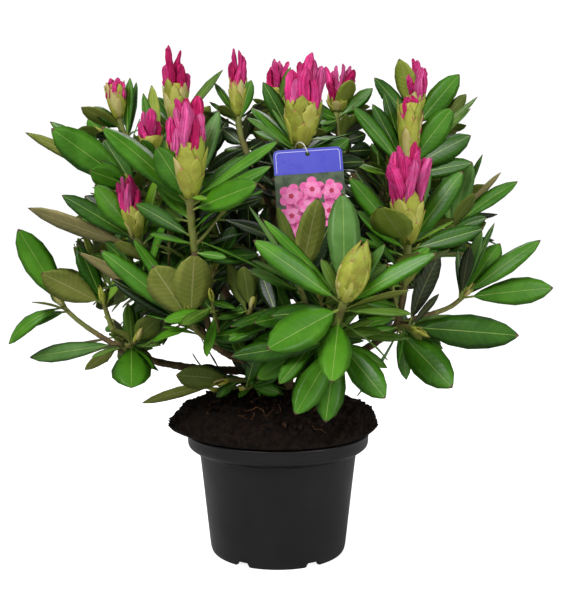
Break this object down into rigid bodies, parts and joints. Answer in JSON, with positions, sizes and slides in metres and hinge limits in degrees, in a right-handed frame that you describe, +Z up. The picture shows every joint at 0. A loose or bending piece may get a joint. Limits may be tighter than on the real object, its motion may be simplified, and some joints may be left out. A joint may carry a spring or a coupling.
{
  "type": "potted rhododendron",
  "caption": "Bushy evergreen shrub in bud, with whorls of leathery leaves and pink flower buds, rooted in a mound of peat in a round nursery pot.",
  "frame": {"origin": "centre of the pot's flat underside", "axes": "+Z up, -Y towards the viewer of the front, +X to that viewer's right"},
  "size_m": [0.5851, 0.5812, 0.579],
  "materials": {
    "black_plastic": "satin",
    "peat": "matt, moist fibrous peat",
    "bark": "matt bark",
    "leaves": "glossy leathery leaves and soft buds",
    "card": "glossy printed card",
    "tie": "white plastic thread"
  },
  "bodies": {
    "root": {"pot": "black_plastic", "peat": "peat", "trunk": "bark", "bough_left_low": "bark", "bough_left_top": "bark", "bough_left_front": "bark", "bough_front": "bark", "bough_right_low": "bark", "bough_right_mid": "bark", "bough_right_top": "bark", "bough_centre_top": "bark", "bough_back_left": "bark", "bough_back_mid": "bark", "bough_back_right": "bark", "foliage_left_low": "leaves", "foliage_left_top": "leaves", "foliage_left_front": "leaves", "foliage_front": "leaves", "foliage_right_low": "leaves", "foliage_right_mid": "leaves", "foliage_right_top": "leaves", "foliage_centre_top": "leaves", "foliage_back_left": "leaves", "foliage_back_mid": "leaves", "foliage_back_right": "leaves", "foliage_low_left": "leaves", "label_card": "card", "label_tie": "tie"}
  },
  "joints": []
}
